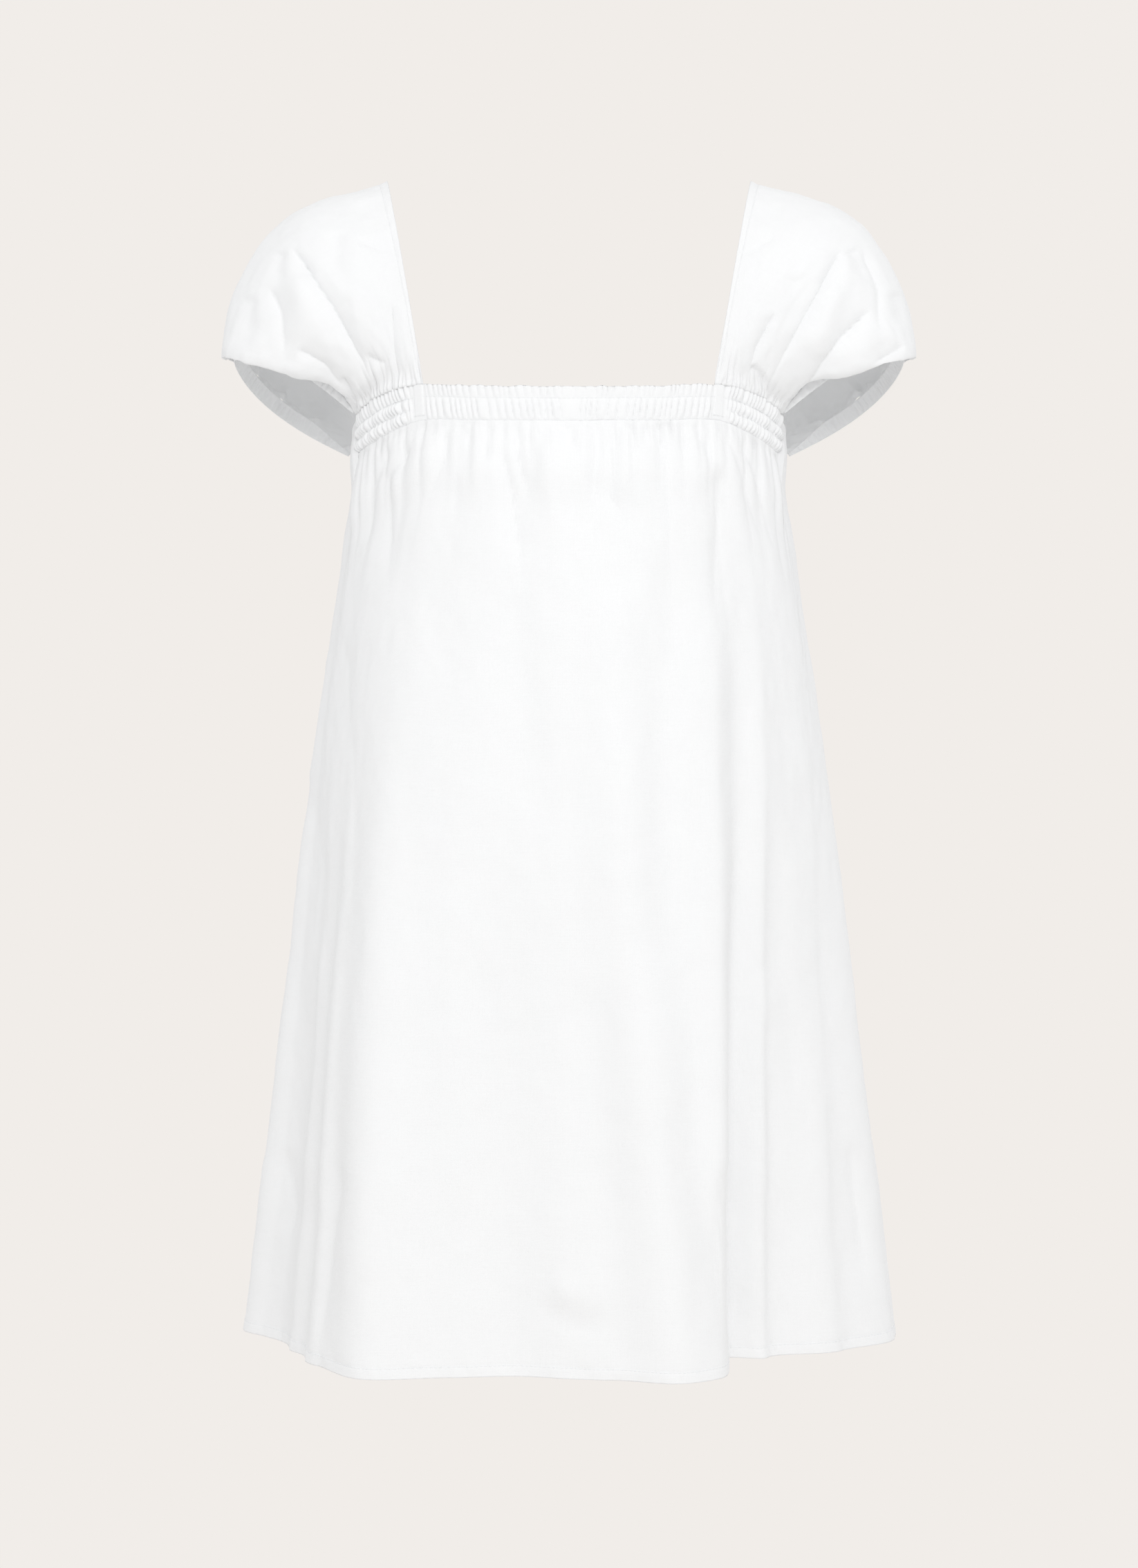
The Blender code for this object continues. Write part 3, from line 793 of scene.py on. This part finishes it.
def sleeve_form(over, across):
    """The sleeve's plain puffed form at +X."""
    neck, seam = neck_edge(over), sleeve_seam(over)
    flat = mix(neck, seam, across[..., None])
    end = np.where(over < 0.5, 0.0, 1.0)
    straight = mix(neck_edge(end), sleeve_seam(end), across[..., None])
    from_end = np.minimum(over, 1.0 - over)
    onto_band = smooth(1.0 - from_end / END_RUN) * smooth((1.0 - across) / 0.12)
    flat += (band_top_end(over, across) - straight) * onto_band[..., None]
    arch = np.clip(np.sin(np.pi * over), 0.0, 1.0)
    profile = np.clip(np.sin(np.pi * across**1.12), 0.0, 1.0) ** mix(1.05, 0.72, across)
    turn = ROLL_FULLNESS * hump(across, TURN_ACROSS) * (1.0 - hump(over, TURN_LEFT_OUT))
    fullness = arch**0.65 * mix(0.25, 1.0, smooth(from_end / 0.05))
    shoulder = SHOULDER_FULLNESS * hump(across, SHOULDER_ACROSS) * hump(over, SHOULDER_OVER)
    filled = fullness * (PUFF_HEIGHT * profile + turn) + shoulder
    points = flat + out_of_puff(flat) * filled[..., None]
    roll = hump(over, ROLL_OVER) * smooth(over / 0.18)
    hang = BLOUSE_DROP * arch + (ROLL_DROP - BLOUSE_DROP) * roll
    run = np.where(across > HANG_ACROSS.middle, HANG_RUN_OUT, HANG_ACROSS.reach)
    hang_way = unit(mix(HANG_IN_FRONT, HANG_BEHIND, smooth((over - 0.35) / 0.35)[..., None]))
    return points + hang_way * (hang * bump((across - HANG_ACROSS.middle) / run))[..., None]


def settled_ends(over):
    """Fades a relief out at both ends of a sleeve's edge."""
    return smooth(over / 0.05) * smooth((1.0 - over) / 0.05)


def sleeve_surface(front_creases, seed, overs, acrosses):
    """Fine outer surface of a sleeve at +X, rows from the neck edge out to the casing."""
    across, over = np.meshgrid(acrosses, overs, indexing="ij")
    points = sleeve_form(over, across)
    x, drop = points[..., 0], -points[..., 2]
    from_end = np.minimum(over, 1.0 - over)
    away = from_end * SLEEVE_RUN
    fine = gathers(SLEEVE_END_GATHERS, 41 + seed, across * SLEEVE_PLEATS, away) * smooth(away / 0.003)
    from_casing = (1.0 - across) * SLEEVE_DEPTH
    fine += gathers(SLEEVE_EDGE_GATHERS, seed, over * CASING_PLEATS, from_casing) * settled_ends(over)
    in_front = smooth((0.50 - over) / 0.08)
    settled = smooth(across / 0.04) * smooth((1.0 - across) / 0.06)
    fine += gathers(SLEEVE_BACK_GATHERS, seed + 50, over * CASING_PLEATS, from_casing) * (1.0 - in_front)
    fine += crease_depth(front_creases, x, drop) * in_front * settled
    fine += crease_depth(SLEEVE_BACK, x, drop) * (1.0 - in_front) * settled
    flat_x, flat_y = over * SLEEVE_RUN, across * SLEEVE_DEPTH
    fine += SLEEVE_RUMPLE * rumple(seed, flat_x, flat_y, 0.024) * settled
    fine += FINE_RUMPLE * rumple(seed + 3, flat_x, flat_y, 0.009) * settled
    fine += stitch_groove(flat_y - NECK_HEM_WIDTH)
    points += outward(points) * (fine * smooth(away / 0.006))[..., None]
    points += smocked_end(over, across) * (smooth(1.0 - away / 0.014) * smooth(across / 0.10))[..., None]
    return points, np.stack((flat_x, -flat_y), axis=-1)


def casing_surface(seed, overs, downs):
    """Fine outer surface of the elastic casing at +X, rows from the sleeve's seam to the free edge."""
    down, over = np.meshgrid(downs, overs, indexing="ij")
    width = casing_width(over)
    points = arm_edge(over) - ARM_DIRECTION * (width * (1.0 - down))[..., None]
    outwards = out_of_puff(points)
    channel = np.abs(np.sin(np.pi * down)) ** 0.6
    fold = pleat(seed, over * CASING_PLEATS) - 0.5
    relief = (CASING_DEPTH * fold * (0.20 + 0.80 * channel) + CASING_SWELL * channel) * settled_ends(over)
    relief -= CASING_TUCK * (1.0 - smooth(down / 0.12))
    points += outwards * relief[..., None]
    return points, np.stack((over * SLEEVE_RUN, -down * CASING_DEPTH_FLAT), axis=-1)


def mirrored(surface):
    """The same surface on the wearer's right, still facing outwards."""
    points, sheet_map = surface
    return (points * (-1.0, 1.0, 1.0))[:, ::-1], sheet_map[:, ::-1]


class Maths:
    """A socket that takes part in sums, each operator adding its Math node."""

    def __init__(self, nodes, socket):
        self.nodes = nodes
        self.socket = socket

    def _node(self, operation, *values):
        return self.nodes.maths(operation, *values)

    def __add__(self, other):
        return self._node("ADD", self, other)

    def __sub__(self, other):
        return self._node("SUBTRACT", self, other)

    def __rsub__(self, other):
        return self._node("SUBTRACT", other, self)

    def __mul__(self, other):
        return self._node("MULTIPLY", self, other)

    __radd__ = __add__
    __rmul__ = __mul__


class Nodes:
    """The node tree of one material."""

    def __init__(self, name):
        self.material = bpy.data.materials.new(name)
        self.material.use_nodes = True
        self.tree = self.material.node_tree
        self.shader = self.tree.nodes["Principled BSDF"]

    def add(self, kind, settings=None, *values, output=0, **named):
        """Any node: its type, its settings, then values or links for its sockets."""
        node = self.tree.nodes.new(kind)
        for key, value in (settings or {}).items():
            setattr(node, key, value)
        for socket, value in [*enumerate(values), *named.items()]:
            self.feed(node.inputs[socket.replace("_", " ") if isinstance(socket, str) else socket], value)
        return Maths(self, node.outputs[output])

    def maths(self, operation, *values):
        return self.add("ShaderNodeMath", {"operation": operation}, *values)

    def feed(self, socket, value):
        if isinstance(value, Maths):
            self.tree.links.new(value.socket, socket)
        else:
            socket.default_value = value

    def tint(self, share, colour, shade):
        """The colour where the share is high, and darker by the shade where it is low."""
        darker = (*(c * shade for c in colour), 1.0)
        return self.add(
            "ShaderNodeMix", {"data_type": "RGBA"}, output=2, Factor=share, A=darker, B=(*colour, 1.0)
        )

    def finish(self, **sockets):
        """The material, once the shader's own sockets have their values or links."""
        for socket, value in sockets.items():
            self.feed(self.shader.inputs[socket.replace("_", " ")], value)
        return self.material


def linen(name, colour, thread_pitch):
    """Plain-woven linen blend: slubbed threads both ways that follow the cut of the cloth."""
    nodes = Nodes(name)
    sheet_map = nodes.add("ShaderNodeUVMap", {"uv_map": "cut"})
    across = nodes.add("ShaderNodeSeparateXYZ", None, sheet_map, output="X")
    along = nodes.add("ShaderNodeSeparateXYZ", None, sheet_map, output="Y")

    def noise(stretch, detail, size=1.0):
        place = nodes.add(
            "ShaderNodeMapping", {"vector_type": "POINT"}, Vector=sheet_map, Scale=(*stretch, 1.0)
        )
        return nodes.add(
            "ShaderNodeTexNoise", {"noise_dimensions": "2D"}, Vector=place, Scale=size, Detail=detail
        )

    wobble = (noise((220.0, 60.0), 1.0) - 0.5) * 0.0006
    warp_phase = (across + wobble) * (math.pi / thread_pitch)
    weft_phase = (along + wobble) * (math.pi / thread_pitch)
    warp = nodes.maths("SINE", warp_phase)
    weft = nodes.maths("SINE", weft_phase)
    over = nodes.maths("GREATER_THAN", warp * weft, 0.0)
    warp_round = nodes.maths("ABSOLUTE", warp)
    weft_round = nodes.maths("ABSOLUTE", weft)
    weave = warp_round * over + weft_round * (1.0 - over)
    warp_slub = noise((1500.0, 55.0), 2.0)
    weft_slub = noise((45.0, 1400.0), 2.0)
    cloud = noise((26.0, 22.0), 3.0)
    slub = warp_slub * 0.5 + weft_slub * 0.5
    height = weave * 0.35 + slub * 1.1
    # Slubs and cloud give the cloth's own uneven tone; the weave term is painted shade, darker where the
    # weave lies low
    shade = slub * 0.55 + cloud * 0.25 + weave * 0.12
    tint = nodes.tint(shade, colour, LINEN_TONE_AND_SHADE)
    bump_node = nodes.add("ShaderNodeBump", None, Strength=0.55, Distance=0.00022, Height=height)
    return nodes.finish(
        Base_Color=tint, Normal=bump_node, Roughness=0.80 + 0.12 * slub,
        Specular_IOR_Level=0.25, Sheen_Weight=0.10, Sheen_Roughness=0.5,
    )


def sewing_thread(name, colour):
    """Twisted thread: a fine diagonal ribbing, with painted shade in its grooves."""
    nodes = Nodes(name)
    place = nodes.add("ShaderNodeTexCoord", None, output="Object")
    twist = nodes.add(
        "ShaderNodeTexWave", {"wave_type": "BANDS", "bands_direction": "DIAGONAL"},
        Vector=place, Scale=900.0, output="Fac",
    )
    bump_node = nodes.add("ShaderNodeBump", None, Strength=0.4, Distance=0.00005, Height=twist)
    # Painted shade: the thread is darker where the twist's bands, the bump's heights, lie low
    tint = nodes.tint(twist, colour, THREAD_SHADE)
    return nodes.finish(Base_Color=tint, Normal=bump_node, Roughness=0.55)


def placed(name, data):
    """An object of the scene."""
    piece = bpy.data.objects.new(name, data)
    bpy.context.scene.collection.objects.link(piece)
    return piece


def cloth(name, surface, material, thickness, node):
    """A thin shell of cloth on a grid of points, with its cut kept as a UV map."""
    points, sheet_map = surface
    rows, columns = points.shape[:2]
    mesh = bpy.data.meshes.new(name)
    corner = (np.arange(rows - 1)[:, None] * columns + np.arange(columns - 1)).ravel()
    faces = np.stack((corner, corner + columns, corner + columns + 1, corner + 1), axis=1)
    mesh.from_pydata(points.reshape(-1, 3).tolist(), [], faces.tolist())
    layer = mesh.uv_layers.new(name="cut")
    layer.data.foreach_set("uv", sheet_map.reshape(-1, 2)[faces.ravel()].ravel())
    mesh.shade_smooth()
    mesh.materials.append(material)
    mesh.update()
    piece = placed(name, mesh)
    wall = piece.modifiers.new("cloth wall", "SOLIDIFY")
    wall.thickness = thickness
    wall.offset = -1.0
    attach(piece, "root")
    if node:
        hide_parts(node)
    return piece


def stitch_tree():
    """Stitches laid end to end along a path, with the path's own sizes as inputs."""
    tree = bpy.data.node_groups.new("stitches along a path", "GeometryNodeTree")
    for name, way, kind in (
        ("Geometry", "INPUT", "Geometry"),
        ("Pitch", "INPUT", "Float"),
        ("Stitch length", "INPUT", "Float"),
        ("Thread radius", "INPUT", "Float"),
        ("Thread", "INPUT", "Material"),
        ("Geometry", "OUTPUT", "Geometry"),
    ):
        tree.interface.new_socket(name, in_out=way, socket_type="NodeSocket" + kind)
    node = tree.nodes.new
    start, end = node("NodeGroupInput"), node("NodeGroupOutput")
    path = node("GeometryNodeMeshToCurve")
    spaced = node("GeometryNodeResampleCurve")
    spaced.mode = "LENGTH"
    tangent = node("GeometryNodeInputTangent")
    turn = node("FunctionNodeAlignRotationToVector")
    turn.axis = "Z"
    stitch = node("GeometryNodeMeshUVSphere")
    for socket, value in (("Segments", 6), ("Rings", 5), ("Radius", 1.0)):
        stitch.inputs[socket].default_value = value
    half = node("ShaderNodeMath")
    half.operation = "MULTIPLY"
    half.inputs[1].default_value = 0.5
    sizes = node("ShaderNodeCombineXYZ")
    place = node("GeometryNodeInstanceOnPoints")
    real = node("GeometryNodeRealizeInstances")
    thread = node("GeometryNodeSetMaterial")
    for source, output, target, entry in (
        (start, "Geometry", path, "Mesh"),
        (path, "Curve", spaced, "Curve"),
        (start, "Pitch", spaced, "Length"),
        (tangent, "Tangent", turn, "Vector"),
        (start, "Stitch length", half, 0),
        (start, "Thread radius", sizes, "X"),
        (start, "Thread radius", sizes, "Y"),
        (half, "Value", sizes, "Z"),
        (spaced, "Curve", place, "Points"),
        (stitch, "Mesh", place, "Instance"),
        (turn, "Rotation", place, "Rotation"),
        (sizes, "Vector", place, "Scale"),
        (place, "Instances", real, "Geometry"),
        (real, "Geometry", thread, "Geometry"),
        (start, "Thread", thread, "Material"),
        (thread, "Geometry", end, "Geometry"),
    ):
        tree.links.new(source.outputs[output], target.inputs[entry])
    return tree


def stitches(name, paths, tree, material):
    """Lines of stitches on the cloth, made a plain mesh."""
    points = [point for path in paths for point in path.tolist()]
    edges = []
    first = 0
    for path in paths:
        edges += [(first + k, first + k + 1) for k in range(len(path) - 1)]
        first += len(path)
    guide_mesh = bpy.data.meshes.new(name + "_path")
    guide_mesh.from_pydata(points, edges, [])
    guide = placed(name + "_path", guide_mesh)
    modifier = guide.modifiers.new("stitches", "NODES")
    modifier.node_group = tree
    wanted = {
        "Pitch": STITCH_PITCH,
        "Stitch length": STITCH_LENGTH,
        "Thread radius": THREAD_RADIUS,
        "Thread": material,
    }
    for item in tree.interface.items_tree:
        if item.in_out == "INPUT" and item.name in wanted:
            modifier[item.identifier] = wanted[item.name]
    graph = bpy.context.evaluated_depsgraph_get()
    mesh = bpy.data.meshes.new_from_object(guide.evaluated_get(graph))
    bpy.data.objects.remove(guide)
    mesh.name = name
    mesh.shade_smooth()
    piece = placed(name, mesh)
    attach(piece, "root")
    return piece


def on_surface(surface, row_place, column_from=0.0, column_to=1.0, lift=0.00012):
    """A line across a surface at one row's place, lifted just off the cloth."""
    points = surface[0]
    rows, columns = points.shape[:2]
    at = row_place * (rows - 1)
    low = int(min(math.floor(at), rows - 2))
    lines = points + outward(points) * lift
    line = mix(lines[low], lines[low + 1], at - low)
    return line[round(column_from * (columns - 1)) : round(column_to * (columns - 1)) + 1]


def steps(count, low=0.0, high=1.0, power=1.0):
    return mix(low, high, np.linspace(0.0, 1.0, count + 1) ** power)


def build_panels(material):
    shares = steps(PANEL_GRID.columns, -1.0, 1.0)
    hem_rows = 1.0 - steps(HEM_ROWS, 0.0, 0.020)[::-1]
    downs = np.concatenate((steps(PANEL_GRID.rows, 0.0, HEM_FROM, 1.35)[:-1], hem_rows))
    surfaces = {}
    for name, band, folds, creases, widest, cut_area in (
        ("front", FRONT_BAND, FRONT_FOLDS, FRONT_CREASES, 0.76, 0.45),
        ("back", BACK_BAND, BACK_FOLDS, BACK_CREASES, 0.72, 0.40),
    ):
        surface = panel_surface(band, folds, creases, shares, downs)
        piece = cloth(f"{name}_skirt_cloth", surface, material, CLOTH, f"{name}_panel")
        inner = surface[0] - outward(surface[0]) * (CLOTH + 0.0002)
        turned = (inner[-HEM_ROWS:], surface[1][-HEM_ROWS:])
        hem = cloth(f"{name}_hem_turn", turned, material, CLOTH, None)
        surfaces[name] = surface
    return surfaces


def build_bands(material):
    shares = steps(BAND_GRID.columns, -0.996, 0.996)
    heights = steps(BAND_GRID.rows)
    surfaces = {}
    for name, band in (("front", FRONT_BAND), ("back", BACK_BAND)):
        surface = band_surface(band, shares, heights)
        piece = cloth(f"{name}_band_cloth", surface, material, BAND_CLOTH, f"{name}_band")
        surfaces[name] = surface
        for side in (-1.0, 1.0):
            wearer_side = "left" if (side > 0) == (band.middle_angle == 0.0) else "right"
            acrosses = steps(TAB_GRID.columns)[:: int(side)]
            tab = tab_surface(band, side, acrosses, steps(TAB_GRID.rows))
            tab_piece = cloth(
                f"{name}_tab_{wearer_side}_cloth", tab, material, CLOTH, f"{name}_band_tab_{wearer_side}"
            )
            surfaces[f"{name}_tab_{wearer_side}"] = tab
    return surfaces


def build_sleeves(material):
    overs = steps(SLEEVE_GRID.columns)
    acrosses = steps(SLEEVE_GRID.rows)
    casing_overs = steps(CASING_GRID.columns, 0.012, 0.988)
    surfaces = {}
    for side, creases, seed in (("right", RIGHT_SLEEVE_FRONT, 3), ("left", LEFT_SLEEVE_FRONT, 6)):
        sleeve = sleeve_surface(creases, seed, overs, acrosses)
        casing = casing_surface(seed, casing_overs, steps(CASING_GRID.rows))
        if side == "right":
            sleeve, casing = mirrored(sleeve), mirrored(casing)
        piece = cloth(f"sleeve_{side}_cloth", sleeve, material, CLOTH, f"sleeve_{side}")
        hem = cloth(f"sleeve_{side}_casing_cloth", casing, material, CLOTH, f"sleeve_casing_{side}")
        surfaces[side] = sleeve
        surfaces[side + "_casing"] = casing
    return surfaces


def sew(panels, bands, sleeves, thread):
    """Every line of stitches that shows."""
    tree = stitch_tree()
    smocked = 0.5 - 0.5 * SMOCKED_FROM
    for name in ("front", "back"):
        stitches(f"{name}_hem_stitches", [on_surface(panels[name], HEM_STITCH_ROW)], tree, thread)
        band = bands[name]
        lines = [on_surface(band, PLAIN_ROWS[1].from_height, smocked, 1.0 - smocked)]
        for ends in ((0.0, smocked), (1.0 - smocked, 1.0)):
            lines += [on_surface(band, row.from_height, *ends) for row in SMOCKED_ROWS[1:]]
        lines.append(on_surface(band, BAND_LOW_STITCH_ROW))
        stitches(f"{name}_band_stitches", lines, tree, thread)
        for side in ("right", "left"):
            tab = bands[f"{name}_tab_{side}"]
            line = on_surface(tab, TAB_STITCH_ROW, TAB_STITCH_INSET, 1.0 - TAB_STITCH_INSET)
            stitches(f"{name}_tab_{side}_stitches", [line], tree, thread)
    for side in ("right", "left"):
        sleeve, casing = sleeves[side], sleeves[side + "_casing"]
        lines = [
            on_surface(sleeve, NECK_HEM_WIDTH / SLEEVE_DEPTH, STITCH_INSET, 1.0 - STITCH_INSET),
            on_surface(casing, CASING_STITCH_ROW, STITCH_INSET, 1.0 - STITCH_INSET),
        ]
        stitches(f"sleeve_{side}_stitches", lines, tree, thread)


# Stage, light and camera, all turned to the middle of the dress
MIDDLE = Vector((0.0, 0.0, -0.4375))
FLOOR_LEVEL = -1.40
FLOOR_RADIUS = 1.15
FLOOR_SIDES = 96
SURROUND = (0.880, 0.847, 0.815)
AMBIENT = 0.86
KEY_LIGHT = "key from above the wearer's left"
KEY_PLACE = Vector((0.25, -2.4, 0.70))
KEY_WIDTH = 1.1
KEY_WATTS = 16.0
CAMERA_DISTANCE = 2.2
SENSOR_WIDTH = 36.0
FRAME_HEIGHT = 2268
FOCAL_PIXELS = 4400.0


def stage_material(name, colour):
    return Nodes(name).finish(Base_Color=(*colour, 1.0), Roughness=0.9)


def studio():
    """A pale floor where the wearer would stand, a plain pale surround, and soft light from the front."""
    floor_mesh = bpy.data.meshes.new("floor")
    turns = [2 * math.pi * k / FLOOR_SIDES for k in range(FLOOR_SIDES)]
    ring = [(FLOOR_RADIUS * math.cos(t), FLOOR_RADIUS * math.sin(t), FLOOR_LEVEL) for t in turns]
    floor_mesh.from_pydata(ring, [], [tuple(range(FLOOR_SIDES))])
    floor_mesh.materials.append(stage_material("floor_finish", SURROUND))
    floor = placed("floor", floor_mesh)

    world = bpy.data.worlds.new("surround")
    bpy.context.scene.world = world
    world.use_nodes = True
    nodes, links = world.node_tree.nodes, world.node_tree.links
    seen = nodes["Background"]
    seen.inputs["Color"].default_value = (*SURROUND, 1.0)
    seen.inputs["Strength"].default_value = 1.0
    lighting = nodes.new("ShaderNodeBackground")
    lighting.inputs["Color"].default_value = (1.0, 1.0, 1.0, 1.0)
    lighting.inputs["Strength"].default_value = AMBIENT
    which = nodes.new("ShaderNodeLightPath")
    either = nodes.new("ShaderNodeMixShader")
    links.new(which.outputs["Is Camera Ray"], either.inputs["Fac"])
    links.new(lighting.outputs["Background"], either.inputs[1])
    links.new(seen.outputs["Background"], either.inputs[2])
    links.new(either.outputs["Shader"], nodes["World Output"].inputs["Surface"])

    lamp = bpy.data.lights.new(KEY_LIGHT, "AREA")
    lamp.energy = KEY_WATTS
    lamp.size = KEY_WIDTH
    holder = placed(KEY_LIGHT, lamp)
    holder.location = KEY_PLACE
    holder.rotation_euler = (MIDDLE - KEY_PLACE).to_track_quat("-Z", "Y").to_euler()


def camera():
    """The photograph's view: level with the middle of the dress, 2.2 m in front."""
    data = bpy.data.cameras.new("camera")
    data.sensor_width = SENSOR_WIDTH
    data.lens = FOCAL_PIXELS / FRAME_HEIGHT * SENSOR_WIDTH
    holder = placed("camera", data)
    holder.location = MIDDLE + Vector((0.0, -CAMERA_DISTANCE, 0.0))
    holder.rotation_euler = (math.pi / 2, 0.0, 0.0)
    bpy.context.scene.camera = holder


def main():
    white_linen = linen("white_linen", LINEN_COLOUR, WEAVE_PITCH)
    thread = sewing_thread("white_thread", THREAD_COLOUR)
    panels = build_panels(white_linen)
    bands = build_bands(white_linen)
    sleeves = build_sleeves(white_linen)
    sew(panels, bands, sleeves, thread)
    studio()
    camera()
    bpy.context.scene.view_settings.view_transform = "Standard"


main()
